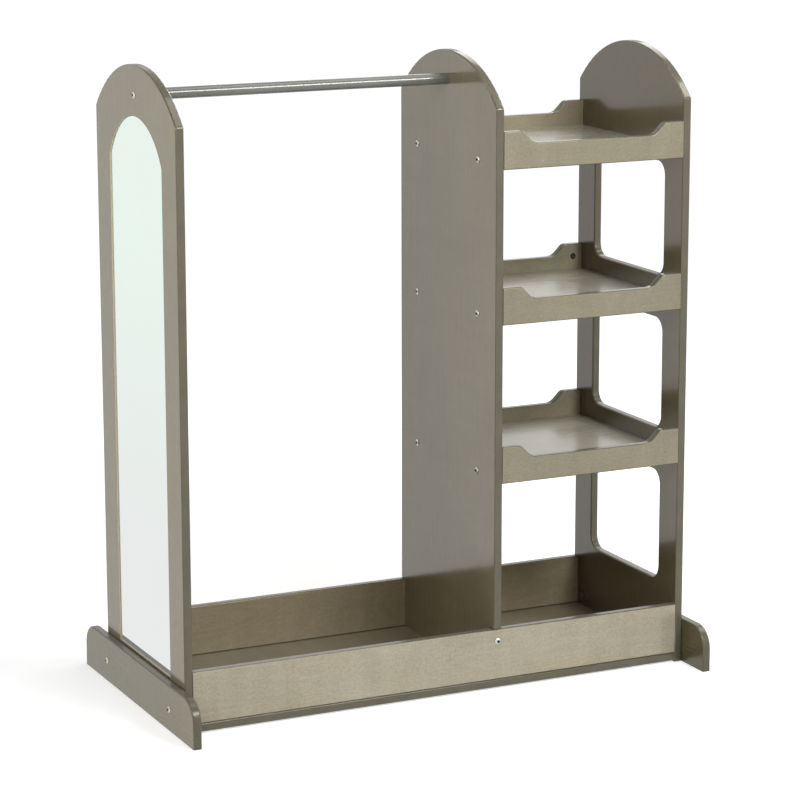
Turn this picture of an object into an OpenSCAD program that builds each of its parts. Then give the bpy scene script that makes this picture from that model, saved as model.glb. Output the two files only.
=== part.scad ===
// Free-standing dress-up rack for a child: three arched panels on two foot boards,
// a hanging rod, a mirror let into the left panel, three scooped trays and a divided bin.
// X runs from left to right, Y from the front to the back and Z up, in millimetres.
// The origin is on the floor, under the middle of the rack.

/* [Boards] */
// Thickness of every board
board_t = 15; // [13:0.5:18]
// Round-over of the boards' free edges
edge_r = 2.5; // [1:0.25:4]

/* [Panels] */
// Depth of the three upright panels
panel_d = 380; // [340:1:440]
// Height of the panels at the crown of the arch
panel_h = 1116; // [1090:1:1250]
// Height of the arch from its shoulders to its crown
arch_rise = 85; // [60:1:110]
// Clear width of the hanging bay
hang_w = 570; // [420:1:700]
// Clear width of the tray bay
tray_w = 355; // [280:1:460]

/* [Mirror] */
// Width of the left panel's border beside the mirror
mirror_border = 66.5; // [50:0.5:85]
// Height of the mirror's lower edge above the floor
mirror_sill_z = 84; // [81:1:140]
// Distance from the panel's crown down to the mirror's crown
mirror_crown_gap = 86.5; // [75:0.5:120]
// Height of the mirror's own arch
mirror_arch_rise = 74.5; // [50:0.5:90]
// Radius of the corners where the mirror's arch meets its sides
mirror_corner_r = 10; // [4:1:20]
// Depth of the pocket that holds the mirror
mirror_pocket_t = 5; // [4:0.5:7]
// Thickness of the mirror sheet
mirror_t = 3; // [2:0.5:4]
// Gap between the mirror sheet and the pocket's wall
mirror_gap = 0.5; // [0.2:0.1:1]

/* [Windows in the right panel] */
// Width of the border beside the windows
window_border = 64; // [45:1:90]
// Corner radius of the windows
window_r = 25; // [12:1:40]
// Height of a tray window's lower edge above the lower edge of its tray
window_rise = 51; // [30:1:70]
// Height of the bin window's lower edge above the bin's rails
bin_window_rise = 31; // [15:1:60]
// Gap between a window's upper edge and the tray over it
window_head_gap = 28.5; // [15:0.5:60]
// Gap between the uppermost window's upper edge and the tray over it
top_window_head_gap = 15; // [10:0.5:60]

/* [Hanging rod] */
// Diameter of the hanging rod
rod_d = 20; // [16:0.5:26]
// Distance from the panels' crown down to the rod's axis
rod_drop = 51; // [35:1:80]

/* [Trays] */
// Height of the lower tray's lower edge above the floor
lower_tray_z = 372; // [350:1:400]
// Height of the middle tray's lower edge above the floor
middle_tray_z = 654; // [630:1:680]
// Distance from the panels' crown down to the upper tray's lower edge
upper_tray_drop = 191; // [175:1:212]
// Height of a tray rail at its ends
tray_rail_h = 66; // [60:1:80]
// Height of a tray rail at its scooped middle
scoop_z = 44; // [36:1:50]
// Length of the full-height end of a tray rail
scoop_end = 31; // [22:1:60]
// Steepness of the scoop's sides in degrees
scoop_slope = 45; // [35:1:55]
// Blend radius at both ends of the scoop's sides
scoop_r = 13; // [8:0.5:16]
// Height of the shelf's underside above the tray's lower edge
shelf_lift = 4; // [2:0.5:10]
// Distance from a tray rail's ends to its pins
pin_inset = 75; // [40:1:100]

/* [Bin] */
// Gap between the floor and the bottom board
floor_gap = 2.5; // [2:0.5:6]
// Height of the bin's front and back rails
bin_rail_h = 92; // [75:1:120]
// Gap between the middle panel's notches and the bin's rails
notch_gap = 1; // [0.5:0.25:2]

/* [Feet] */
// Height of the foot boards
foot_h = 80; // [70:1:80]
// Reach of the foot boards past the panels, at the front and at the back
foot_reach = 76; // [50:1:110]
// Radius of the foot boards' upper corners
foot_r = 40; // [25:1:50]
// Height of the foot bolts above the floor
foot_bolt_z = 38; // [34:1:46]
// Distance from a panel's front or back edge to the foot bolts
foot_bolt_inset = 36.5; // [30:0.5:60]

/* [Fasteners] */
// Diameter of the bolts
bolt_d = 6; // [5:0.5:7]
// Length of a bolt's shank
bolt_l = 50; // [45:1:60]
// Clearance around a bolt in a bored board
bolt_clearance = 0.5; // [0.2:0.1:0.8]
// Diameter of a bolt's button head
bolt_head_d = 13; // [11:0.5:16]
// Height of a bolt's button head
bolt_head_h = 3; // [2:0.5:4]
// Width across the corners of a bolt's hexagon socket
socket_d = 4.6; // [3:0.1:5]
// Depth of a bolt's hexagon socket
socket_depth = 1.8; // [1:0.1:2]
// Distance of the tray bolts from the middle of the panels' depth
tray_bolt_y = 120; // [80:1:145]
// Height of the divider bolts below the top of the bin's rails
divider_bolt_drop = 22; // [15:1:35]
// Diameter of a barrel nut
barrel_nut_d = 10; // [9:0.5:11]
// Length of a barrel nut
barrel_nut_l = 12; // [10:0.5:12]
// Width of a barrel nut's slot
nut_slot_w = 1.5; // [1:0.1:2]
// Depth of a barrel nut's slot
nut_slot_depth = 1; // [0.6:0.1:1.5]
// Clearance around a barrel nut in its bore
nut_clearance = 0.1; // [0.05:0.05:0.3]
// Distance from a shelf's end to its barrel nuts
nut_inset = 28; // [20:1:32]
// Distance from the right panel to the barrel nut in the middle tray's back rail
rail_nut_inset = 18; // [14:1:28]
// Height of that barrel nut above the tray's lower edge
rail_nut_z = 42; // [32:1:50]
// Diameter of a cap nut's flange
cap_nut_flange_d = 13; // [11:0.5:16]
// Thickness of a cap nut's flange
cap_nut_flange_t = 1.5; // [1:0.25:2]
// Diameter of a cap nut's sleeve
cap_nut_d = 9; // [8.5:0.25:10]
// Diameter of the bin's long screws
bin_screw_d = 7; // [5:0.5:8]
// Length of the bin's long screws
bin_screw_l = 50; // [40:1:60]
// Height of the bin's long screws above the floor
bin_screw_z = 46; // [36:1:50]
// Diameter of a dowel
dowel_d = 8; // [6:0.5:9]
// Length of a dowel
dowel_l = 30; // [24:1:36]
// Depth that a dowel reaches into a side panel
dowel_bite = 10; // [8:0.5:11]
// Height of the dowels below the top of the bin's rails
dowel_drop = 21.5; // [14:0.5:35]
// Diameter of the floor screws
floor_screw_d = 4; // [3:0.5:5]
// Length of the floor screws
floor_screw_l = 40; // [30:1:50]
// Distance from the bottom board's ends to its outer screws
floor_screw_inset = 60; // [40:1:120]
// Diameter of a screw's countersunk head
screw_head_d = 9; // [8:0.5:11]
// Height of a screw's countersunk head
screw_head_h = 3; // [2:0.25:4]
// Diameter of a tray pin
pin_d = 1.8; // [1.2:0.1:2.5]
// Length of a tray pin
pin_l = 35; // [28:1:45]

/* [Hidden] */
$fn = 64;
ARCH_FN = 256;
HEXAGON = 6;

wood = "#938c7b";
wood_edge = "#817a69";
rail_wood = "#a59e8a";
rod_paint = "#74746c";
silver = "#c8c8c4";
bright = "#b9b4a6";
glass = "#dfe9e4";
beech = "#c9ac80";

// length by which cutting shapes stand out of what they cut
over = 1;
// depth of the strips that carry a rounded edge
edge_land = 2 * edge_r;

// places along X
frame_w = 3 * board_t + hang_w + tray_w;
left_x = -frame_w / 2;
hang_x = left_x + board_t;
middle_x = hang_x + hang_w;
tray_x = middle_x + board_t;
right_x = tray_x + tray_w;
right_out_x = right_x + board_t;

// places along Y
front_y = -panel_d / 2;
back_y = panel_d / 2;
rail_y = panel_d / 2 - board_t;
rail_mid_y = panel_d / 2 - board_t / 2;
foot_l = panel_d + 2 * foot_reach;
foot_bolt_y = panel_d / 2 - foot_bolt_inset;

// places along Z
bin_floor_z = floor_gap + board_t;
bin_top_z = bin_floor_z + bin_rail_h;
rod_z = panel_h - rod_drop;
upper_tray_z = panel_h - upper_tray_drop;
shelf_top = shelf_lift + board_t;
shelf_mid = shelf_lift + board_t / 2;
divider_bolt_z = bin_top_z - divider_bolt_drop;
dowel_z = bin_top_z - dowel_drop;
tray_zs = [lower_tray_z, middle_tray_z, upper_tray_z];

// windows of the right panel as [lower edge, height]
windows = [
    window_span(bin_top_z + bin_window_rise, lower_tray_z - window_head_gap),
    window_span(lower_tray_z + window_rise, middle_tray_z - window_head_gap),
    window_span(middle_tray_z + window_rise, upper_tray_z - top_window_head_gap)
];
window_w = panel_d - 2 * window_border;

// mirror pocket
pocket_w = panel_d - 2 * mirror_border;
pocket_top_z = panel_h - mirror_crown_gap;

// scoop of the tray rails: each bend takes at most bend_share of the scoop's height, and the scoop's
// floor begins at scoop_start from the rail's end
scoop_side_h = tray_rail_h - scoop_z;
bend_share = 0.45;
bend_r = min(scoop_r, bend_share * scoop_side_h / (1 - cos(scoop_slope)));
slope_h = scoop_side_h - 2 * bend_r * (1 - cos(scoop_slope));
scoop_start = scoop_end + 2 * bend_r * sin(scoop_slope) + slope_h / tan(scoop_slope);

// bores
bolt_bore_d = bolt_d + 2 * bolt_clearance;
nut_bore_d = barrel_nut_d + 2 * nut_clearance;
floor_screw_xs = [hang_x + floor_screw_inset, (hang_x + middle_x) / 2, (tray_x + right_x) / 2,
    right_x - floor_screw_inset];

function window_span(low, high) = [low, high - low];

// radius of a segmental arch
function arch_r(span, rise) = (span * span / 4 + rise * rise) / (2 * rise);

// ---- outlines ----

// rectangle with all corners rounded, its corner at the origin
module rounded_rect(w, h, r) {
    translate([r, 0]) square([w - 2 * r, h]);
    translate([0, r]) square([w, h - 2 * r]);
    for (x = [r, w - r], y = [r, h - r]) translate([x, y]) circle(r);
}

// rectangle from x = 0 to l, whose two corners at x = l are rounded
module nosed_rect(l, w, r) {
    square([l - r, w]);
    translate([0, r]) square([l, w - 2 * r]);
    for (y = [r, w - r]) translate([l - r, y]) circle(r);
}

// upright outline with a segmental arch on top, rounded where the arch meets the sides, its foot
// centred on the origin
module arched_outline(w, h, rise, corner_r) {
    r = arch_r(w, rise);
    centre = [0, h - r];
    corner_x = w / 2 - corner_r;
    corner = [corner_x, centre[1] + sqrt((r - corner_r) ^ 2 - corner_x ^ 2)];
    ray = centre + 2 * (corner - centre);
    translate([-w / 2, 0]) square([w, corner[1]]);
    for (side = [-1, 1]) translate([side * corner[0], corner[1]]) circle(corner_r);
    intersection() {
        translate(centre) circle(r, $fn = ARCH_FN);
        polygon([centre, ray, [ray[0], h + r], [-ray[0], h + r], [-ray[0], ray[1]]]);
    }
}

// turns an outline drawn in X and Y into a board in the YZ plane that is t thick along X
module upright(t) {
    rotate([90, 0, 90]) linear_extrude(t) children();
}

// cylinder along X
module rod_x(d, l) {
    rotate([0, 90, 0]) cylinder(d = d, h = l);
}

// cylinder along Y
module rod_y(d, l) {
    rotate([-90, 0, 0]) cylinder(d = d, h = l);
}

// what is drawn from the origin along X, at both ends of a board that runs from x to the right panel
module at_both_ends(x) {
    translate([x, 0, 0]) children();
    translate([right_x, 0, 0]) mirror([1, 0, 0]) children();
}

// ---- boards ----

// arched panel whose long edges and crown are rounded over on both faces
module arched_blank() {
    r = arch_r(panel_d, arch_rise);
    intersection() {
        translate([0, front_y, 0]) linear_extrude(panel_h) rounded_rect(board_t, panel_d, edge_r);
        union() {
            translate([0, 0, panel_h - r]) rotate([0, 90, 0])
                rotate_extrude($fn = ARCH_FN) nosed_rect(r, board_t, edge_r);
            translate([-over, -panel_d, -over]) cube([board_t + 2 * over, 2 * panel_d, panel_h - r + over]);
        }
    }
}

// bores for the two long screws and the two dowels of the bin in a side panel, from its inner face
module bin_joint_bores(dir) {
    for (y = [-rail_mid_y, rail_mid_y]) {
        translate([0, y, dowel_z]) mirror([dir > 0 ? 0 : 1, 0, 0])
            translate([-over, 0, 0]) rod_x(dowel_d, dowel_bite + over);
        translate([0, y, bin_screw_z]) mirror([dir > 0 ? 0 : 1, 0, 0]) {
            translate([-over, 0, 0]) rod_x(bin_screw_d, board_t + 2 * over);
            translate([board_t - screw_head_h, 0, 0]) rotate([0, 90, 0])
                cylinder(d1 = bin_screw_d, d2 = screw_head_d, h = screw_head_h);
        }
    }
}

// bores for the two foot bolts' cap nuts
module foot_nut_bores() {
    for (y = [-foot_bolt_y, foot_bolt_y])
        translate([-over, y, foot_bolt_z]) rod_x(cap_nut_d, board_t + 2 * over);
}

module left_panel() {
    color(wood) translate([left_x, 0, 0]) difference() {
        arched_blank();
        translate([-over, 0, mirror_sill_z]) upright(mirror_pocket_t + over)
            arched_outline(pocket_w, pocket_top_z - mirror_sill_z, mirror_arch_rise, mirror_corner_r);
        translate([-over, 0, rod_z]) rod_x(bolt_bore_d, board_t + 2 * over);
        foot_nut_bores();
        translate([board_t, 0, 0]) bin_joint_bores(-1);
    }
}

module middle_panel() {
    notch_z = bin_top_z + notch_gap;
    notch_d = board_t + notch_gap;
    color(wood) translate([middle_x, 0, 0]) difference() {
        arched_blank();
        translate([-over, -panel_d, -over]) cube([board_t + 2 * over, 2 * panel_d, bin_floor_z + over]);
        for (side = [-1, 1])
            translate([-over, side * (back_y + panel_d / 2 - notch_d) - panel_d / 2, 0])
                cube([board_t + 2 * over, panel_d, notch_z]);
        translate([-over, 0, rod_z]) rod_x(bolt_bore_d, board_t + 2 * over);
        for (z = tray_zs, y = [-tray_bolt_y, tray_bolt_y])
            translate([-over, y, z + shelf_mid]) rod_x(bolt_bore_d, board_t + 2 * over);
        for (side = [0, 1]) mirror([0, side, 0]) {
            translate([board_t / 2, front_y, divider_bolt_z]) rod_y(bolt_bore_d, bolt_l + over);
            translate([board_t - barrel_nut_l, front_y + board_t + nut_inset, divider_bolt_z])
                rod_x(nut_bore_d, barrel_nut_l + over);
        }
        for (side = [-1, 1])
            translate([board_t / 2, side * (rail_y / 2), 0])
                cylinder(d = floor_screw_d, h = floor_gap + floor_screw_l);
    }
}

// straight strip along X that carries a rounded upper edge: l long, its top at Z = 0
module edge_run(l) {
    translate([0, 0, -edge_land]) rotate([90, 0, 90]) linear_extrude(l)
        rotate(90) mirror([0, 1]) nosed_rect(edge_land, board_t, edge_r);
}

// rounded rim of a window w wide and h high, centred on the origin, board_t thick along X
module window_rim(w, h) {
    for (side = [0:3]) rotate([90 * side, 0, 0]) {
        half_run = (side % 2 == 0 ? w : h) / 2 - window_r;
        reach = (side % 2 == 0 ? h : w) / 2;
        translate([board_t, -half_run, -reach]) rotate([0, 0, 90]) edge_run(2 * half_run);
        translate([0, half_run, reach - window_r]) rotate([90, 0, 90]) rotate_extrude(angle = 90)
            translate([window_r + edge_land, board_t]) rotate(180) nosed_rect(edge_land, board_t, edge_r);
    }
}

module right_panel() {
    color(wood) translate([right_x, 0, 0]) difference() {
        union() {
            difference() {
                arched_blank();
                for (span = windows) translate([-over, -window_w / 2 - edge_r, span[0] - edge_r])
                    upright(board_t + 2 * over)
                    rounded_rect(window_w + 2 * edge_r, span[1] + 2 * edge_r, window_r + edge_r);
            }
            for (span = windows) translate([0, 0, span[0] + span[1] / 2]) window_rim(window_w, span[1]);
        }
        for (z = tray_zs, y = [-tray_bolt_y, tray_bolt_y])
            translate([-over, y, z + shelf_mid]) rod_x(bolt_bore_d, board_t + 2 * over);
        translate([-over, rail_mid_y, middle_tray_z + rail_nut_z]) rod_x(bolt_bore_d, board_t + 2 * over);
        foot_nut_bores();
        bin_joint_bores(1);
    }
}

// foot board with quarter-round upper corners and rounded-over free edges
module foot_blank() {
    mid_l = foot_l - 2 * foot_r;
    translate([0, mid_l / 2, 0]) rotate([90, 0, 0]) linear_extrude(mid_l)
        rotate(90) mirror([0, 1]) nosed_rect(foot_h, board_t, edge_r);
    for (side = [0, 1]) mirror([0, side, 0]) translate([0, mid_l / 2, 0]) {
        linear_extrude(foot_h - foot_r) rotate(90) mirror([0, 1]) nosed_rect(foot_r, board_t, edge_r);
        translate([0, 0, foot_h - foot_r]) rotate([90, 0, 90])
            rotate_extrude(angle = 90) nosed_rect(foot_r, board_t, edge_r);
    }
}

module foot() {
    difference() {
        foot_blank();
        for (y = [-foot_bolt_y, foot_bolt_y])
            translate([-over, y, foot_bolt_z]) rod_x(bolt_bore_d, board_t + 2 * over);
    }
}

module left_foot() {
    color(wood) translate([left_x - board_t, 0, 0]) foot();
}

module right_foot() {
    color(wood) translate([right_out_x, 0, 0]) foot();
}

module mirror_sheet() {
    w = pocket_w - 2 * mirror_gap;
    h = pocket_top_z - mirror_sill_z - 2 * mirror_gap;
    color(glass) translate([left_x + mirror_pocket_t - mirror_t, 0, mirror_sill_z + mirror_gap])
        upright(mirror_t) arched_outline(w, h, mirror_arch_rise, mirror_corner_r - mirror_gap);
}

module hanging_rod() {
    insert_l = bolt_l - board_t;
    color(rod_paint) translate([hang_x, 0, rod_z]) difference() {
        rod_x(rod_d, hang_w);
        translate([-over, 0, 0]) rod_x(bolt_d, insert_l + over);
        translate([hang_w - insert_l, 0, 0]) rod_x(bolt_d, insert_l + over);
    }
}

// ---- bin ----

// board along X between the side panels, with its four long edges rounded
module long_bar(x, l, d, h) {
    translate([x, 0, 0]) rotate([90, 0, 90]) linear_extrude(l) rounded_rect(d, h, edge_r);
}

module bottom_board() {
    color(wood_edge) difference() {
        translate([0, front_y, floor_gap]) long_bar(hang_x, right_x - hang_x, panel_d, board_t);
        floor_screw_places() floor_screw_bore();
    }
}

// where the floor screws stand: four under each rail and two under the middle panel
module floor_screw_places() {
    for (x = floor_screw_xs, y = [-rail_mid_y, rail_mid_y]) translate([x, y, floor_gap]) children();
    for (side = [-1, 1]) translate([middle_x + board_t / 2, side * rail_y / 2, floor_gap]) children();
}

module floor_screw_bore() {
    translate([0, 0, -over]) cylinder(d = floor_screw_d, h = floor_screw_l + over);
    cylinder(d1 = screw_head_d, d2 = floor_screw_d, h = screw_head_h);
}

module bin_rail() {
    difference() {
        translate([0, front_y, bin_floor_z]) long_bar(hang_x, right_x - hang_x, board_t, bin_rail_h);
        translate([middle_x + board_t / 2, front_y - over, divider_bolt_z])
            rod_y(bolt_bore_d, board_t + 2 * over);
        for (x = floor_screw_xs) translate([x, -rail_mid_y, 0])
            cylinder(d = floor_screw_d, h = floor_gap + floor_screw_l);
        at_both_ends(hang_x) translate([0, -rail_mid_y, 0]) {
            translate([-over, 0, dowel_z]) rod_x(dowel_d, dowel_l - dowel_bite + over);
            translate([-over, 0, bin_screw_z]) rod_x(bin_screw_d, bin_screw_l - board_t + over);
        }
    }
}

module bin_front_rail() {
    color(rail_wood) bin_rail();
}

module bin_back_rail() {
    color(rail_wood) mirror([0, 1, 0]) bin_rail();
}

// ---- trays ----

// face of a scooped rail, drawn short of its rounded lower edge
module scooped_face() {
    slope_out = [sin(scoop_slope), cos(scoop_slope)];
    crest = [scoop_end, tray_rail_h - bend_r];
    dip = [scoop_start, scoop_z + bend_r];
    slope_head = crest + bend_r * slope_out;
    slope_foot = dip - bend_r * slope_out;
    difference() {
        union() {
            polygon([
                [0, edge_r], [tray_w, edge_r], [tray_w, tray_rail_h],
                [tray_w - scoop_end, tray_rail_h], [tray_w - slope_head[0], slope_head[1]],
                [tray_w - slope_foot[0], slope_foot[1]], [tray_w - scoop_start, scoop_z],
                [scoop_start, scoop_z], slope_foot, slope_head,
                [scoop_end, tray_rail_h], [0, tray_rail_h]
            ]);
            for (x = [crest[0], tray_w - crest[0]]) translate([x, crest[1]]) circle(bend_r);
        }
        for (x = [dip[0], tray_w - dip[0]]) translate([x, dip[1]]) circle(bend_r);
    }
}

// scooped rail of a tray, its front face on the plane Y = 0 and its lower edge at Z = 0
module scooped_rail() {
    rotate([90, 0, 0]) mirror([0, 0, 1]) linear_extrude(board_t) scooped_face();
    translate([tray_w, 0, 0]) rotate([0, 180, 0]) edge_run(tray_w);
}

// tray rail at the front, with its pin bores
module tray_rail(z) {
    translate([tray_x, front_y, z]) difference() {
        scooped_rail();
        for (x = [pin_inset, tray_w - pin_inset])
            translate([x, -over, shelf_mid]) rod_y(pin_d, board_t + 2 * over);
    }
}

module tray_front_rail(z) {
    color(rail_wood) tray_rail(z);
}

module tray_back_rail(z) {
    color(rail_wood) mirror([0, 1, 0]) tray_rail(z);
}

module tray_shelf(z) {
    color(wood) difference() {
        translate([tray_x, -rail_y, z + shelf_lift]) cube([tray_w, 2 * rail_y, board_t]);
        at_both_ends(tray_x) for (y = [-tray_bolt_y, tray_bolt_y]) translate([0, y, z + shelf_mid]) {
            translate([-over, 0, 0]) rod_x(bolt_bore_d, bolt_l - board_t + 2 * over);
            translate([nut_inset, 0, -board_t / 2 - over])
                cylinder(d = nut_bore_d, h = barrel_nut_l + over);
        }
        for (side = [0, 1], x = [pin_inset, tray_w - pin_inset]) mirror([0, side, 0])
            translate([tray_x + x, -rail_y - over, z + shelf_mid]) rod_y(pin_d, pin_l - board_t + over);
    }
}

module upper_tray_front_rail() { tray_front_rail(upper_tray_z); }
module upper_tray_back_rail() { tray_back_rail(upper_tray_z); }
module upper_tray_shelf() { tray_shelf(upper_tray_z); }
module middle_tray_front_rail() { tray_front_rail(middle_tray_z); }
module middle_tray_shelf() { tray_shelf(middle_tray_z); }
module lower_tray_front_rail() { tray_front_rail(lower_tray_z); }
module lower_tray_back_rail() { tray_back_rail(lower_tray_z); }
module lower_tray_shelf() { tray_shelf(lower_tray_z); }

// this back rail also takes a bolt from the right panel, whose barrel nut shows on its inner face
module middle_tray_back_rail() {
    color(rail_wood) difference() {
        tray_back_rail(middle_tray_z);
        translate([right_x + over, rail_mid_y, middle_tray_z + rail_nut_z]) mirror([1, 0, 0])
            rod_x(bolt_bore_d, bolt_l - board_t + 2 * over);
        translate([right_x - rail_nut_inset, rail_y - over, middle_tray_z + rail_nut_z])
            rod_y(nut_bore_d, barrel_nut_l + over);
    }
}

// ---- fasteners ----

// button-head bolt along X, its head on the plane X = 0 and its shank towards +X
module button_bolt(l) {
    dome_r = arch_r(bolt_head_d, bolt_head_h);
    difference() {
        rotate([0, -90, 0]) union() {
            rotate_extrude() intersection() {
                translate([0, bolt_head_h - dome_r]) circle(dome_r);
                square([bolt_head_d, bolt_head_h]);
            }
            translate([0, 0, -l]) cylinder(d = bolt_d, h = l);
        }
        translate([-bolt_head_h - over, 0, 0]) rotate([0, 90, 0])
            cylinder(d = socket_d, h = socket_depth + over, $fn = HEXAGON);
    }
}

// barrel nut along Z, its slotted end at Z = 0, with its thread bored along X
module barrel_nut(thread_z) {
    difference() {
        cylinder(d = barrel_nut_d, h = barrel_nut_l);
        translate([-barrel_nut_d, 0, thread_z]) rod_x(bolt_d, 2 * barrel_nut_d);
        translate([-barrel_nut_d, -nut_slot_w / 2, -over])
            cube([2 * barrel_nut_d, nut_slot_w, nut_slot_depth + over]);
    }
}

// screw with a countersunk head, its head's face at Z = 0 and its tip up
module countersunk_screw(d, l) {
    cylinder(d1 = screw_head_d, d2 = d, h = screw_head_h);
    cylinder(d = d, h = l);
}

module rod_bolts() {
    color(silver) for (end = [0, 1]) translate([end * tray_x + (1 - end) * left_x, 0, rod_z])
        mirror([end, 0, 0]) button_bolt(bolt_l);
}

// both ends of every tray, as seen from its middle panel
module at_tray_bolts() {
    for (z = tray_zs, y = [-tray_bolt_y, tray_bolt_y], end = [0, 1])
        translate([end * right_out_x + (1 - end) * middle_x, y, z + shelf_mid])
        mirror([end, 0, 0]) children();
}

module tray_bolts() {
    color(silver) at_tray_bolts() button_bolt(bolt_l);
}

module tray_nuts() {
    color(silver) at_tray_bolts() translate([board_t + nut_inset, 0, -board_t / 2]) barrel_nut(board_t / 2);
}

module back_rail_bolt() {
    color(silver) translate([right_out_x, rail_mid_y, middle_tray_z + rail_nut_z])
        mirror([1, 0, 0]) button_bolt(bolt_l);
}

module back_rail_nut() {
    color(silver) translate([right_x - rail_nut_inset, rail_y, middle_tray_z + rail_nut_z])
        rotate([-90, 0, 0]) barrel_nut(board_t / 2);
}

module divider_bolts() {
    color(silver) for (side = [0, 1]) mirror([0, side, 0])
        translate([middle_x + board_t / 2, front_y, divider_bolt_z]) rotate([0, 0, 90]) button_bolt(bolt_l);
}

module divider_nuts() {
    color(silver) for (side = [0, 1]) mirror([0, side, 0])
        translate([tray_x, front_y + board_t + nut_inset, divider_bolt_z])
            rotate([0, -90, 0]) rotate(90) barrel_nut(board_t / 2);
}

module at_foot_bolts() {
    for (end = [0, 1], y = [-foot_bolt_y, foot_bolt_y])
        translate([(2 * end - 1) * (right_out_x + board_t), y, foot_bolt_z]) mirror([end, 0, 0]) children();
}

module foot_bolts() {
    color(bright) at_foot_bolts() button_bolt(2 * board_t);
}

module foot_nuts() {
    color(bright) at_foot_bolts() difference() {
        union() {
            translate([board_t, 0, 0]) rod_x(cap_nut_d, board_t);
            translate([2 * board_t, 0, 0]) rod_x(cap_nut_flange_d, cap_nut_flange_t);
        }
        translate([board_t - over, 0, 0]) rod_x(bolt_d, board_t + over);
    }
}

// both ends of both bin rails, at the outer faces of the side panels
module at_bin_joints(z) {
    for (end = [0, 1], y = [-rail_mid_y, rail_mid_y])
        translate([(2 * end - 1) * right_out_x, y, z]) mirror([end, 0, 0]) children();
}

module bin_screws() {
    color(silver) at_bin_joints(bin_screw_z) rotate([0, 90, 0]) countersunk_screw(bin_screw_d, bin_screw_l);
}

module bin_dowels() {
    color(beech) at_bin_joints(dowel_z) translate([board_t - dowel_bite, 0, 0]) rod_x(dowel_d, dowel_l);
}

module floor_screws() {
    color(silver) floor_screw_places() countersunk_screw(floor_screw_d, floor_screw_l);
}

module tray_pins() {
    color(silver) for (z = tray_zs, side = [0, 1], x = [pin_inset, tray_w - pin_inset])
        mirror([0, side, 0]) translate([tray_x + x, front_y, z + shelf_mid]) rod_y(pin_d, pin_l);
}

left_panel();
middle_panel();
right_panel();
left_foot();
right_foot();
mirror_sheet();  // mirror
hanging_rod();
bottom_board();
bin_front_rail();
bin_back_rail();
upper_tray_front_rail();
upper_tray_back_rail();
upper_tray_shelf();
middle_tray_front_rail();
middle_tray_back_rail();
middle_tray_shelf();
lower_tray_front_rail();
lower_tray_back_rail();
lower_tray_shelf();
rod_bolts();
tray_bolts();
tray_nuts();
back_rail_bolt();
back_rail_nut();
divider_bolts();
divider_nuts();
foot_bolts();
foot_nuts();
bin_screws();
bin_dowels();
floor_screws();
tray_pins();
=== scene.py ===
import math

import bmesh
import bpy
from mathutils import Matrix, Vector


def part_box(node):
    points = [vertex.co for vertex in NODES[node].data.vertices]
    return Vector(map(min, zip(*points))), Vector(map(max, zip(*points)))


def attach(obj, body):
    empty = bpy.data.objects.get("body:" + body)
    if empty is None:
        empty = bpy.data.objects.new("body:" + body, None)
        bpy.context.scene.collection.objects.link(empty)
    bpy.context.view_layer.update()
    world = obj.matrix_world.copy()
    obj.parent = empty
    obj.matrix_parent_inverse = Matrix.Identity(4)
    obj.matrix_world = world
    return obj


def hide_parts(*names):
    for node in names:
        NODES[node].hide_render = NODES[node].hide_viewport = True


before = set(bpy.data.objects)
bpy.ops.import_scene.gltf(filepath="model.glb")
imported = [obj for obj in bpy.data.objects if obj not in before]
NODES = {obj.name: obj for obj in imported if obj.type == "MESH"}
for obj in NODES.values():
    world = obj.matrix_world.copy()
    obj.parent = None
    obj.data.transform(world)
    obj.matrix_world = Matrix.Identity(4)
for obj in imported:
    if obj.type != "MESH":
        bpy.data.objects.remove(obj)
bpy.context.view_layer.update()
scene = bpy.context.scene
scene.view_settings.view_transform = "Standard"

AXES = "XYZ"
LEVELS = "upper", "middle", "lower"
WELD = 2e-6  # corners nearer than this, in metres, are one and the same


# ---------------------------------------------------------------- node graphs

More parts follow.
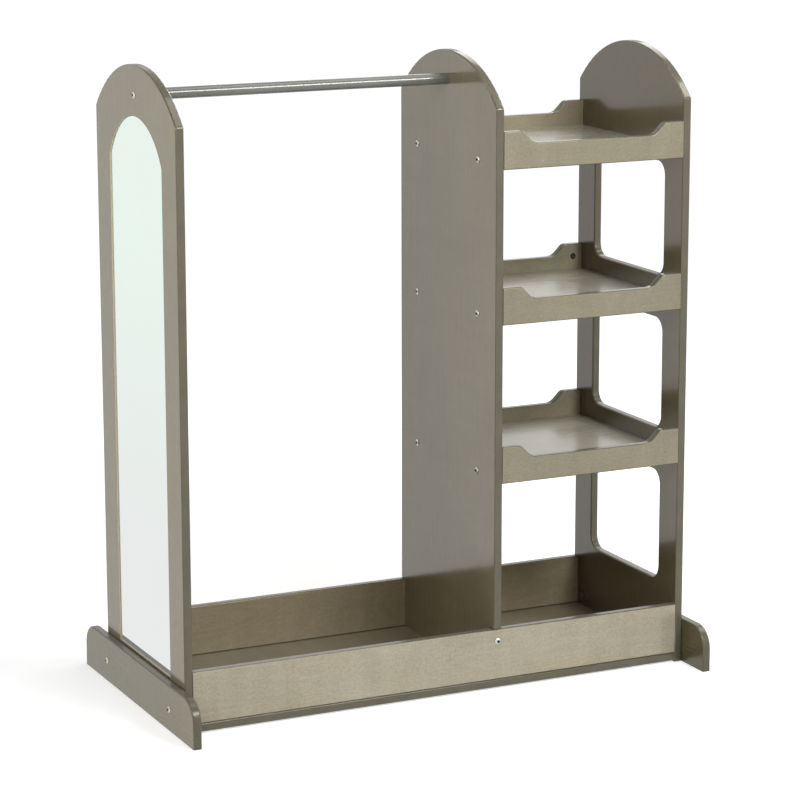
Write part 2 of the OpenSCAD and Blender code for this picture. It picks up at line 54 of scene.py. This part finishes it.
class Graph:
    """The node tree of a material or a world, with short calls; values may be numbers or sockets."""

    def __init__(self, owner):
        self.owner = owner
        owner.use_nodes = True
        self.tree = owner.node_tree
        self.tree.nodes.clear()

    def add(self, kind, **settings):
        node = self.tree.nodes.new(kind)
        for key, value in settings.items():
            setattr(node, key, value)
        return node

    def read(self, kind, output):
        """One output of a node that takes no input here, such as a coordinate."""
        return self.add(kind).outputs[output]

    def put(self, socket, value):
        if isinstance(value, bpy.types.NodeSocket):
            self.tree.links.new(value, socket)
        elif isinstance(value, (tuple, list)) and socket.type == "RGBA" and len(value) == 3:
            socket.default_value = (*value, 1)
        else:
            socket.default_value = value

    def math(self, operation, *values):
        node = self.add("ShaderNodeMath", operation=operation)
        for socket, value in zip(node.inputs, values):
            self.put(socket, value)
        return node.outputs[0]

    def times(self, a, b):
        return self.math("MULTIPLY", a, b)

    def weighted(self, *terms):
        """Sum of values, each given with its weight."""
        total = 0.0
        for weight, value in terms:
            total = self.math("ADD", total, self.times(value, weight))
        return total

    def fit(self, value, low, high, to_low=0.0, to_high=1.0, smooth=True):
        node = self.add("ShaderNodeMapRange", interpolation_type="SMOOTHSTEP" if smooth else "LINEAR")
        for name, entry in (("Value", value), ("From Min", low), ("From Max", high),
                            ("To Min", to_low), ("To Max", to_high)):
            self.put(node.inputs[name], entry)
        return node.outputs["Result"]

    def mix(self, factor, a, b, blend="MIX"):
        """Mixes colours, which are the Mix node's inputs 6 and 7 and its output 2."""
        node = self.add("ShaderNodeMix", data_type="RGBA", blend_type=blend)
        for index, value in ((0, factor), (6, a), (7, b)):
            self.put(node.inputs[index], value)
        return node.outputs[2]

    def split(self, vector):
        node = self.add("ShaderNodeSeparateXYZ")
        self.put(node.inputs[0], vector)
        return node.outputs

    def join(self, x, y, z):
        node = self.add("ShaderNodeCombineXYZ")
        for socket, value in zip(node.inputs, (x, y, z)):
            self.put(socket, value)
        return node.outputs[0]

    def noise(self, vector, stretch, detail=2.0, roughness=0.5, distortion=0.0):
        """Noise with its own frequency per axis, in cycles per metre."""
        scaled = self.add("ShaderNodeVectorMath", operation="MULTIPLY")
        self.put(scaled.inputs[0], vector)
        self.put(scaled.inputs[1], stretch)
        node = self.add("ShaderNodeTexNoise")
        self.put(node.inputs["Vector"], scaled.outputs[0])
        for name, value in (("Scale", 1.0), ("Detail", detail), ("Roughness", roughness),
                            ("Distortion", distortion)):
            self.put(node.inputs[name], value)
        return node.outputs["Fac"]

    def bump(self, height, distance, strength, after=None):
        node = self.add("ShaderNodeBump")
        self.put(node.inputs["Height"], height)
        self.put(node.inputs["Distance"], distance)
        self.put(node.inputs["Strength"], strength)
        if after is not None:
            self.put(node.inputs["Normal"], after)
        return node.outputs[0]

    def show(self, shader, output="ShaderNodeOutputMaterial"):
        """Links the shader to the output and returns the finished material or world."""
        self.put(self.add(output).inputs["Surface"], shader.outputs[0])
        return self.owner

    def principled(self, **values):
        shader = self.add("ShaderNodeBsdfPrincipled")
        for key, value in values.items():
            self.put(shader.inputs[key.replace("_", " ")], value)
        return self.show(shader)


def new_material(name):
    """A material's empty graph, and the place on the piece that its patterns follow."""
    g = Graph(bpy.data.materials.new(name))
    return g, g.read("ShaderNodeTexCoord", "Object")


# ---------------------------------------------------------------- lacquered boards

CLOUD_WEIGHT, BAND_WEIGHT = 0.9, 0.7  # shares of the broad patterns in the wood's tone
TONE_SPAN = 0.62  # how far the tone may go to either side of its middle
WARM = (1.07, 0.985, 0.93)
EDGE = (0.122, 0.112, 0.082)
RAW = (0.60, 0.52, 0.39)
LAYER = 0.0029  # two plies of the board
POCKET_MARGIN = 0.003  # from the mirror's edge out past the wall of its pocket
LACQUER_TINT = (1.0, 0.90, 0.60)
GRAIN_DEPTH, RIPPLE_DEPTH = 0.00003, 0.00022
PANEL_FADE, BOARD_FADE = 0.72, 0.88  # where the sheen starts to fade, from 0 head-on to 1 edge-on
FADE_SPAN = 0.14
FADED = 0.02  # what is left of the sheen


def birch(g, board, dark, light, streak, figure, flecks):
    """Colour of a board's faces, and the cloud and the fine lines, which the sheen follows too.
    streak, figure and flecks are the shares of the fibres, of the growth rings and of short dashes."""
    cloud = g.noise(board, (5, 8, 8), detail=2)
    bands = g.noise(board, (26, 5, 5), detail=2, distortion=0.4)
    contour = g.noise(board, (2.2, 7, 7), detail=1.5, distortion=0.7)
    rings = g.math("POWER", g.fit(g.math("SINE", g.times(contour, 150.0)), -1.0, 1.0), 2.0)
    fibre = g.noise(board, (45, 520, 520), detail=3, roughness=0.6)
    lines = g.noise(board, (7, 330, 330), detail=3, roughness=0.65)
    dashes = g.noise(board, (190, 290, 290), detail=3, roughness=0.75)
    pores = g.fit(g.noise(board, (110, 1500, 1500), detail=1), 0.66, 0.74)

    tone = g.weighted((CLOUD_WEIGHT, cloud), (BAND_WEIGHT, bands), (figure, rings), (streak, fibre),
                      (streak, lines), (flecks, dashes))
    middle = 0.5 * (CLOUD_WEIGHT + BAND_WEIGHT + 2 * streak + flecks)
    colour = g.mix(g.fit(tone, middle - TONE_SPAN, middle + TONE_SPAN, smooth=False), dark, light)
    blush = g.fit(g.noise(board, (4, 30, 30), detail=3), 0.42, 0.68, 0.0, 0.55)
    colour = g.mix(blush, colour, g.mix(1.0, colour, WARM, blend="MULTIPLY"))
    return g.mix(g.times(pores, 0.22), colour, dark), cloud, lines


def edge_finish(g, coords, through):
    """Colour of a board's edges: its layers show faintly under a darker, thicker finish."""
    layers = g.math("SINE", g.times(through, 2 * math.pi / LAYER))
    cloud = g.noise(coords, (25, 25, 25), detail=2)
    tone = g.math("ADD", g.times(layers, 0.06), cloud)
    return g.mix(g.fit(tone, 0.3, 0.72), [0.92 * c for c in EDGE], [1.08 * c for c in EDGE])


def pocket_walls(g, xyz, side, node):
    """1 on those edges of a board that stand around the piece that is let into it."""
    low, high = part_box(node)
    walls = side
    for axis in (1, 2):
        walls = g.times(walls, g.math("GREATER_THAN", xyz[axis], low[axis] - POCKET_MARGIN))
        walls = g.times(walls, g.math("LESS_THAN", xyz[axis], high[axis] + POCKET_MARGIN))
    return walls


def lacquered_birch(name, dark, light, seed, face, grain, streak=1.0, figure=0.1, flecks=0.08, blur=0.1,
                    gloss=0.46, right_stain=None, let_in=None):
    """Stained and lacquered birch. face is the axis that the board's faces look along, and grain the
    axis that its fibres run along. right_stain is painted light: a tint that the face towards the right
    takes on top, so that the two faces of one stain differ as their light does. let_in is the piece whose
    pocket has walls of bare wood."""
    g, coords = new_material(name)
    xyz = g.split(coords)
    facing = g.split(g.read("ShaderNodeNewGeometry", "Normal"))
    across = next(a for a in AXES if a not in (face, grain))
    along, over, through = (xyz[AXES.index(a)] for a in (grain, across, face))
    # every board is cut from its own place in the same wood
    board = g.join(g.math("ADD", along, seed), g.math("ADD", over, 0.37 * seed), through)

    colour, cloud, lines = birch(g, board, dark, light, streak, figure, flecks)
    # painted light: the face towards the right takes a colour of its own, so one stain looks different on
    # the two faces
    if right_stain:
        right_face_tinted = g.mix(1.0, colour, right_stain, blend="MULTIPLY")
        colour = g.mix(g.math("GREATER_THAN", facing[0], 0.5), colour, right_face_tinted)
    side = g.fit(g.math("ABSOLUTE", facing[AXES.index(face)]), 0.86, 0.985, 1.0, 0.0)
    colour = g.mix(side, colour, edge_finish(g, coords, through))
    if let_in:
        colour = g.mix(pocket_walls(g, xyz, side, let_in), colour, RAW)

    flat = g.math("SUBTRACT", 1.0, side)
    coat_normal = g.bump(g.noise(coords, (38, 38, 38), detail=1), RIPPLE_DEPTH, 0.35)
    normal = g.bump(g.times(lines, flat), GRAIN_DEPTH, 0.25, after=coat_normal)
    haze = g.weighted((1.0, cloud), (0.4, lines))

    # the fibres scatter the sheen where a board is seen almost edge-on
    start = PANEL_FADE if face == "X" else BOARD_FADE
    facing_away = g.read("ShaderNodeLayerWeight", "Facing")
    sheen = g.fit(facing_away, start, start + FADE_SPAN, 1.0, FADED)
    return g.principled(
        Base_Color=colour, Roughness=g.fit(haze, 0.45, 0.95, blur + 0.06, blur + 0.12), Normal=normal,
        Specular_IOR_Level=g.times(sheen, gloss), Specular_Tint=LACQUER_TINT,
        Coat_Weight=g.times(sheen, g.fit(side, 0, 1, gloss, 0.7 * gloss)), Coat_Roughness=blur,
        Coat_IOR=1.5, Coat_Normal=coat_normal,
    )


def paint(material, *names):
    for name in names:
        NODES[name].data.materials.clear()
        NODES[name].data.materials.append(material)


def finish_board(node, tones, seed, **look):
    paint(lacquered_birch(f"{node}_lacquer", *tones, seed, **look), node)


def stain_and_painted_light(tones, red, green, blue):
    """The same dark and light tones scaled per board: a little more or less stain, and painted light and
    shade for how that board is lit.
    """
    return [(red * r, green * g, blue * b) for r, g, b in tones]


FACE = (0.120, 0.102, 0.056), (0.178, 0.155, 0.088)
SHELF = (0.190, 0.172, 0.122), (0.275, 0.258, 0.195)
RAIL = (0.275, 0.242, 0.166), (0.435, 0.395, 0.288)
FOOT = (0.076, 0.062, 0.026), (0.112, 0.094, 0.044)

UPRIGHT = dict(face="X", grain="Z")
LYING = dict(face="Z", grain="X")
RAILS = dict(face="Y", grain="X", streak=0.35)
FEET = dict(face="X", grain="Y", figure=0.02, blur=0.17, gloss=0.32)

# these factors hold painted light and shade as well as stain: the right panel and right foot darker, the
# left panel and left foot lighter than boards of the same finish
finish_board("left_panel", stain_and_painted_light(FACE, 1.31, 1.25, 0.98), 1.3, **UPRIGHT, figure=0.02,
             right_stain=(0.96, 1.0, 1.32), let_in="mirror")
finish_board("middle_panel", stain_and_painted_light(FACE, 1.28, 1.29, 1.45), 4.7, **UPRIGHT, figure=0.03, gloss=0.5)
finish_board("right_panel", stain_and_painted_light(FACE, 0.68, 0.64, 0.66), 8.1, **UPRIGHT, figure=0.03, gloss=0.5)
finish_board("left_foot", stain_and_painted_light(FOOT, 1.98, 2.06, 2.05), 2.2, **FEET)
finish_board("right_foot", stain_and_painted_light(FOOT, 1.02, 1.0, 1.1), 5.9, **FEET)
finish_board("bottom_board", stain_and_painted_light(SHELF, 1.05, 1.02, 0.98), 3.4, **LYING, figure=0.05)
finish_board("bin_front_rail", stain_and_painted_light(RAIL, 1.18, 1.21, 1.28), 11.7, **RAILS, flecks=1.9)
finish_board("bin_back_rail", stain_and_painted_light(RAIL, 1.04, 0.99, 0.95), 14.8, **RAILS, figure=0.12, flecks=1.4)
for index, level in enumerate(LEVELS):
    finish_board(f"{level}_tray_shelf", stain_and_painted_light(SHELF, 1.5, 1.56, 1.7), 6.3 + 2.9 * index, **LYING,
                 figure=0.04, blur=0.18)
    finish_board(f"{level}_tray_front_rail", stain_and_painted_light(RAIL, 0.77, 0.78, 0.78), 21.9 + 4.3 * index, **RAILS,
                 figure=0.08, flecks=1.9)
    finish_board(f"{level}_tray_back_rail", RAIL, 23.6 + 4.3 * index, **RAILS, figure=0.08, flecks=1.4)


# ---------------------------------------------------------------- rod, mirror and fasteners

NICKEL = (0.58, 0.57, 0.53), (0.74, 0.73, 0.69)
BRASSY = (0.54, 0.48, 0.37), (0.74, 0.67, 0.53)
DARK_NUT = (0.20, 0.19, 0.17), (0.34, 0.32, 0.29)
# darker than the brassy plating: painted shade for the nuts that sit down in the bin
BRASSY_NUT_IN_SHADE = (0.26, 0.22, 0.16), (0.36, 0.31, 0.23)
ZINC = (0.34, 0.35, 0.34), (0.50, 0.51, 0.50)
# painted shade for the bolts' sockets and a painted contact shadow round their heads, over a little dark
# oxide
OXIDE_AND_PAINTED_SHADE = (0.020, 0.019, 0.017)
SOCKET_RADIUS = 0.0028  # of the shade in a bolt's socket
HEAD_RADIUS = 0.0065


def lacquered_rod():
    g, coords = new_material("rod_lacquer_satin")
    cloud = g.noise(coords, (8, 40, 40), detail=2)
    wipe = g.noise(coords, (30, 500, 500), detail=2)
    colour = g.mix(g.fit(g.weighted((1.0, cloud), (0.4, wipe)), 0.5, 0.9),
                   (0.140, 0.142, 0.122), (0.178, 0.180, 0.158))
    return g.principled(Base_Color=colour, Roughness=g.fit(cloud, 0.3, 0.7, 0.30, 0.36),
                        Specular_IOR_Level=0.3, Normal=g.bump(wipe, 0.00001, 0.3),
                        Coat_Weight=1.0, Coat_Roughness=0.09)


def mirror_glass():
    """Silvered glass, greener towards the top, with a little haze."""
    g, coords = new_material("mirror_silvering")
    # the glass's own green, growing greener towards the top as a painted reflection
    green_with_painted_reflection = g.mix(g.fit(g.split(coords)[2], 0.25, 0.85), (0.784, 0.807, 0.791), (0.784, 0.896, 0.823))
    haze = g.noise(coords, (9, 9, 9), detail=2)
    smudge = g.noise(coords, (38, 38, 60), detail=3)
    return g.principled(Base_Color=g.mix(g.fit(haze, 0.4, 0.7, 0.0, 0.02), green_with_painted_reflection, (0.7, 0.7, 0.7)),
                        Metallic=1.0, Roughness=g.fit(smudge, 0.3, 0.8, 0.015, 0.04),
                        Normal=g.bump(haze, 0.00012, 0.2))


def raw_beech():
    g, coords = new_material("raw_beech")
    grain = g.noise(coords, (60, 700, 700), detail=3)
    return g.principled(Base_Color=g.mix(g.fit(grain, 0.35, 0.65), (0.42, 0.28, 0.15), (0.62, 0.45, 0.27)),
                        Roughness=g.fit(grain, 0.3, 0.7, 0.55, 0.7), Normal=g.bump(grain, 0.0001, 0.5))


def bolt_places(node, axis):
    """Where the bolts of a node stand: the middles of its loose parts, across the axis."""
    mesh = bmesh.new()
    mesh.from_mesh(NODES[node].data)
    bmesh.ops.remove_doubles(mesh, verts=mesh.verts, dist=WELD)
    left, places = set(mesh.verts), set()
    while left:
        part, border = set(), {left.pop()}
        while border:
            part |= border
            border = {edge.other_vert(v) for v in border for edge in v.link_edges} - part
        left -= part
        middle = [(min(v.co[i] for v in part) + max(v.co[i] for v in part)) / 2 for i in range(3)]
        places.add(tuple(round(middle[i], 4) for i in range(3) if AXES[i] != axis))
    mesh.free()
    return sorted(places)


def head_shade(g, coords, node, axis):
    """1 in the sockets of a node's bolts and where their heads meet the wood. The bolts lie along
    the axis."""
    xyz = g.split(coords)
    flat = [xyz[i] for i in range(3) if AXES[i] != axis]
    nearest = 1.0
    for place in bolt_places(node, axis):
        offsets = [g.math("SUBTRACT", value, centre) for value, centre in zip(flat, place)]
        squares = [g.times(offset, offset) for offset in offsets]
        nearest = g.math("MINIMUM", nearest, g.math("SQRT", g.math("ADD", *squares)))
    return g.math("MAXIMUM", g.fit(nearest, 0.95 * SOCKET_RADIUS, 1.05 * SOCKET_RADIUS, 1.0, 0.0),
                  g.fit(nearest, 0.9 * HEAD_RADIUS, 0.98 * HEAD_RADIUS))


def plated_steel(name, dark, light, roughness, bolts=None):
    """Plated steel. bolts is the node and the axis of bolts, whose heads get their shade."""
    g, coords = new_material(name)
    turning = g.noise(coords, (900, 900, 900), detail=3)
    tarnish = g.noise(coords, (240, 240, 240), detail=2)
    colour = g.mix(g.fit(tarnish, 0.35, 0.65), dark, light)
    rough = g.fit(turning, 0.3, 0.7, roughness - 0.06, roughness + 0.06)
    if bolts:
        shade = head_shade(g, coords, *bolts)
        # painted shade in the sockets and a painted contact shadow where the heads meet the wood
        colour = g.mix(shade, colour, OXIDE_AND_PAINTED_SHADE)
        rough = g.weighted((1.0, rough), (0.25, shade))
    return g.principled(Base_Color=colour, Metallic=1.0, Roughness=rough,
                        Normal=g.bump(turning, 0.00003, 0.4))


for node, axis, plating in (("rod_bolts", "X", NICKEL), ("tray_bolts", "X", NICKEL),
                            ("back_rail_bolt", "X", NICKEL), ("divider_bolts", "Y", NICKEL),
                            ("foot_bolts", "X", BRASSY)):
    paint(plated_steel(f"{node}_plated", *plating, 0.36, (node, axis)), node)
paint(plated_steel("nickel_nut", *NICKEL, 0.34), "tray_nuts", "divider_nuts")
paint(plated_steel("dark_nut", *DARK_NUT, 0.24), "back_rail_nut")
paint(plated_steel("brassy_nut", *BRASSY_NUT_IN_SHADE, 0.2), "foot_nuts")
paint(plated_steel("zinc_dull", *ZINC, 0.4), "bin_screws", "floor_screws", "tray_pins")
paint(lacquered_rod(), "hanging_rod")
paint(mirror_glass(), "mirror")
paint(raw_beech(), "bin_dowels")


# ---------------------------------------------------------------- eased edges

# a tray rail: its scoop as in the CAD, and what the photograph shows beyond it
SCOOP_END = 0.031  # from the rail's end to the scoop
SCOOP_FLOOR = 0.044  # from the rail's lower edge
SLOPE = math.radians(45)
BEND, WIDE_BEND = 0.013, 0.024
EASE = 0.0022
EASED_FROM = 0.030  # edges nearer the rail's lower edge stay as they are

# a panel: the kinks under its arch
ARCH_RISE = 0.085
SHOULDER_TURN = math.radians(43.5)  # from the upright side to the arch's first facet
SHOULDER_RADIUS = 0.0075
SHOULDER_BANDS = 4
SHOULDER_AREA = 0.03  # only faces with a corner this near a kink are cut
MOVE_DEPTH, MOVE_FADE = 0.02, 0.015  # corners deeper than this stay; the move fades over the second

CREASE = math.radians(32)
STRAIGHT = math.radians(0.3)


def work_mesh(node):
    """The piece's own mesh, to be changed and handed to reshaped()."""
    work = bmesh.new()
    work.from_mesh(NODES[node].data)
    bmesh.ops.remove_doubles(work, verts=work.verts, dist=WELD)
    bmesh.ops.dissolve_limit(work, angle_limit=STRAIGHT, verts=work.verts, edges=work.edges)
    return work


def level_normals(mesh):
    """Shading normals weighted by area, so a flat face stays flat right up to its rounded edge."""
    around = [[] for _ in mesh.vertices]
    for polygon in mesh.polygons:
        for vertex in polygon.vertices:
            around[vertex].append(polygon)
    normals = []
    for polygon in mesh.polygons:
        for vertex in polygon.vertices:
            near = [other.normal * other.area for other in around[vertex]
                    if other.normal.dot(polygon.normal) > math.cos(CREASE)]
            normals.append(sum(near, Vector((0, 0, 0))).normalized())
    mesh.normals_split_custom_set(normals)


def reshaped(node, work):
    """Puts the changed mesh in the place of the piece's own."""
    mesh = bpy.data.meshes.new(f"{node}_eased")
    work.to_mesh(mesh)
    work.free()
    mesh.materials.append(NODES[node].data.materials[0])
    piece = bpy.data.objects.new(f"{node}_eased", mesh)
    scene.collection.objects.link(piece)
    for polygon in mesh.polygons:
        polygon.use_smooth = True
    mesh.set_sharp_from_angle(angle=CREASE)
    level_normals(mesh)
    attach(piece, "root")
    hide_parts(node)


def widened_bends(work, low, high):
    """Widens the hollow bends at the foot of a scoop's sides. The floor and the slopes stay where
    they are, so that a wider bend takes a little of each."""
    slope_height = high.z - low.z - SCOOP_FLOOR - 2 * BEND * (1 - math.cos(SLOPE))
    floor_start = SCOOP_END + 2 * BEND * math.sin(SLOPE) + slope_height / math.tan(SLOPE)
    wide_start = floor_start + (WIDE_BEND - BEND) * math.tan(SLOPE / 2)
    for v in work.verts:
        left = v.co.x < (low.x + high.x) / 2
        off = floor_start - (v.co.x - low.x if left else high.x - v.co.x)
        rise = SCOOP_FLOOR + BEND - (v.co.z - low.z)
        angle = math.atan2(off, rise)
        on_bend = abs(math.hypot(off, rise) - BEND) < 2e-4
        if on_bend and -0.01 < angle < SLOPE + math.radians(1):
            reach = wide_start - WIDE_BEND * math.sin(angle)
            v.co.x = low.x + reach if left else high.x - reach
            v.co.z = low.z + SCOOP_FLOOR + WIDE_BEND * (1 - math.cos(angle))


def eased_scoop(node):
    """Widens the bends of a tray rail's scoop and rounds over its upper edges, on both faces."""
    low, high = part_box(node)
    work = work_mesh(node)
    widened_bends(work, low, high)

    def picked(edge):
        ends = [v.co for v in edge.verts]
        on_face = any(all(abs(c.y - y) < 1e-5 for c in ends) for y in (low.y, high.y))
        upright = all(min(abs(c.x - low.x), abs(c.x - high.x)) < 1e-5 for c in ends)
        return (edge.calc_face_angle(0) > math.radians(60) and on_face and not upright
                and min(c.z for c in ends) > low.z + EASED_FROM)

    chosen = [edge for edge in work.edges if len(edge.link_faces) == 2 and picked(edge)]
    bmesh.ops.bevel(work, geom=chosen, offset=EASE, segments=4, profile=0.5, affect="EDGES",
                    clamp_overlap=True)
    reshaped(node, work)


def eased_shoulders(node):
    """Rounds the two kinks where a panel's arch meets its upright sides: narrow bands are cut across
    each kink and their corners move in onto an arc."""
    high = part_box(node)[1]
    work = work_mesh(node)
    half = SHOULDER_TURN / 2
    reach = SHOULDER_RADIUS * math.sin(half)
    for side in (-1, 1):
        kink = Vector((0, side * high.y, high.z - ARCH_RISE))
        inward = Vector((0, -side * math.cos(half), -math.sin(half)))
        along = Vector((0, -side * math.sin(half), math.cos(half)))
        for band in range(-SHOULDER_BANDS, SHOULDER_BANDS + 1):
            near = [face for face in work.faces
                    if min((v.co.yz - kink.yz).length for v in face.verts) < SHOULDER_AREA]
            parts = {part for face in near for part in (*face.verts, *face.edges)}
            bmesh.ops.bisect_plane(work, geom=[*near, *parts], dist=1e-6, plane_no=along,
                                   plane_co=kink + along * (reach * band / SHOULDER_BANDS))
        for v in work.verts:
            across, depth = abs((v.co - kink).dot(along)), (v.co - kink).dot(inward)
            if across < reach and depth < MOVE_DEPTH:
                gap = (SHOULDER_RADIUS / math.cos(half) - across * math.tan(half)
                       - math.sqrt(SHOULDER_RADIUS ** 2 - across ** 2))
                v.co += inward * (gap * min(1.0, (MOVE_DEPTH - depth) / MOVE_FADE))
    bmesh.ops.remove_doubles(work, verts=work.verts, dist=10 * WELD)
    bmesh.ops.dissolve_limit(work, angle_limit=STRAIGHT, verts=work.verts, edges=work.edges)
    reshaped(node, work)


for level in LEVELS:
    for place in ("front", "back"):
        eased_scoop(f"{level}_tray_{place}_rail")
for name in ("left_panel", "middle_panel", "right_panel"):
    eased_shoulders(name)


# ---------------------------------------------------------------- studio

AMBIENT = 0.04
CEILING = 0.22  # how bright the room above is in reflections
FLOOR_REACH = 60.0
FLOOR_COLOUR = (0.80, 0.80, 0.80)
NEAR_GLOW, FAR_GLOW = 0.55, 1.0  # of the floor to the camera, under the rack and away from it
GLOW_START, GLOW_FULL = 0.7, 2.2  # metres from the rack's middle

CAMERA_PLACE = (-2.1848, -4.6050, 1.6158)
YAW, PITCH, ROLL = math.radians(25.455), math.radians(11.681), math.radians(-0.091)
LENS, SENSOR, SHIFT = 131.87, 36.0, -0.045


def backdrop_white():
    """Pale floor that keeps the rack's shadow for the camera and is plain white in reflections."""
    g, coords = new_material("studio_floor")
    x, y, _ = g.split(coords)
    far = g.math("SQRT", g.math("ADD", g.times(x, x), g.times(y, y)))
    ray = g.add("ShaderNodeLightPath").outputs
    diffuse = g.add("ShaderNodeBsdfDiffuse")
    g.put(diffuse.inputs["Color"], FLOOR_COLOUR)
    lift = g.add("ShaderNodeEmission")
    glow = g.fit(far, GLOW_START, GLOW_FULL, NEAR_GLOW, FAR_GLOW)
    g.put(lift.inputs["Strength"], g.times(ray["Is Camera Ray"], glow))
    seen = g.add("ShaderNodeAddShader")
    g.put(seen.inputs[0], diffuse.outputs[0])
    g.put(seen.inputs[1], lift.outputs[0])
    white = g.add("ShaderNodeEmission")
    either = g.add("ShaderNodeMixShader")
    g.put(either.inputs[0], g.math("MAXIMUM", ray["Is Glossy Ray"], ray["Is Transmission Ray"]))
    g.put(either.inputs[1], seen.outputs[0])
    g.put(either.inputs[2], white.outputs[0])
    return g.show(either)


def studio_floor():
    mesh = bpy.data.meshes.new("studio_floor")
    corners = [(x * FLOOR_REACH, y * FLOOR_REACH, 0) for x, y in ((-1, -1), (1, -1), (1, 1), (-1, 1))]
    mesh.from_pydata(corners, [], [(0, 1, 2, 3)])
    mesh.materials.append(backdrop_white())
    floor = bpy.data.objects.new("studio_floor", mesh)
    scene.collection.objects.link(floor)


def studio_world():
    """Dim fill for diffuse rays; white for the camera and for reflections, dimmer overhead in those."""
    g = Graph(bpy.data.worlds.new("studio"))
    height = g.split(g.read("ShaderNodeTexCoord", "Generated"))[2]
    overhead = g.fit(height, 0.35, 0.8, 1.0, CEILING, smooth=False)
    ray = g.add("ShaderNodeLightPath").outputs
    shiny = g.math("MAXIMUM", ray["Is Glossy Ray"], ray["Is Transmission Ray"])
    level = g.math("MAXIMUM", g.times(shiny, overhead), ray["Is Camera Ray"])
    room = g.add("ShaderNodeBackground")
    g.put(room.inputs["Color"], (1, 1, 1))
    g.put(room.inputs["Strength"], g.math("MAXIMUM", level, AMBIENT))
    scene.world = g.show(room, "ShaderNodeOutputWorld")


def softbox(name, place, width, height, power, target=(0, 0, 0.5)):
    data = bpy.data.lights.new(name, "AREA")
    data.shape = "RECTANGLE"
    data.size, data.size_y = width, height
    data.energy = power
    lamp = bpy.data.objects.new(name, data)
    lamp.location = place
    lamp.rotation_mode = "QUATERNION"
    lamp.rotation_quaternion = (Vector(place) - Vector(target)).to_track_quat("Z", "Y")
    scene.collection.objects.link(lamp)


def studio_camera():
    """The photograph's view."""
    data = bpy.data.cameras.new("camera")
    data.lens, data.sensor_width, data.shift_y = LENS, SENSOR, SHIFT
    data.clip_start, data.clip_end = 0.1, 200.0
    look = Vector((math.sin(YAW) * math.cos(PITCH), math.cos(YAW) * math.cos(PITCH), -math.sin(PITCH)))
    level = Vector((math.cos(YAW), -math.sin(YAW), 0))
    above = level.cross(look)
    right = math.cos(ROLL) * level + math.sin(ROLL) * above
    up = math.cos(ROLL) * above - math.sin(ROLL) * level
    camera = bpy.data.objects.new("camera", data)
    turn = Matrix((right, up, -look)).transposed().to_4x4()
    camera.matrix_world = Matrix.Translation(CAMERA_PLACE) @ turn
    scene.collection.objects.link(camera)
    scene.camera = camera


studio_floor()
studio_world()
softbox("front", (0.92, -2.4, 2.25), 1.3, 0.8, 54)
softbox("front_left", (-0.8, -1.8, 2.1), 0.8, 0.8, 5)
softbox("left", (-1.8, -0.95, 1.45), 1.2, 1.2, 18)
softbox("right", (2.0, 0.0, 1.8), 1.0, 1.0, 24)
softbox("top", (0.0, -0.2, 2.5), 1.6, 1.0, 10)
softbox("over_right", (1.12, -0.27, 2.3), 0.36, 0.5, 3.5)
softbox("back", (1.5, 1.75, 2.3), 1.3, 1.3, 9)
studio_camera()
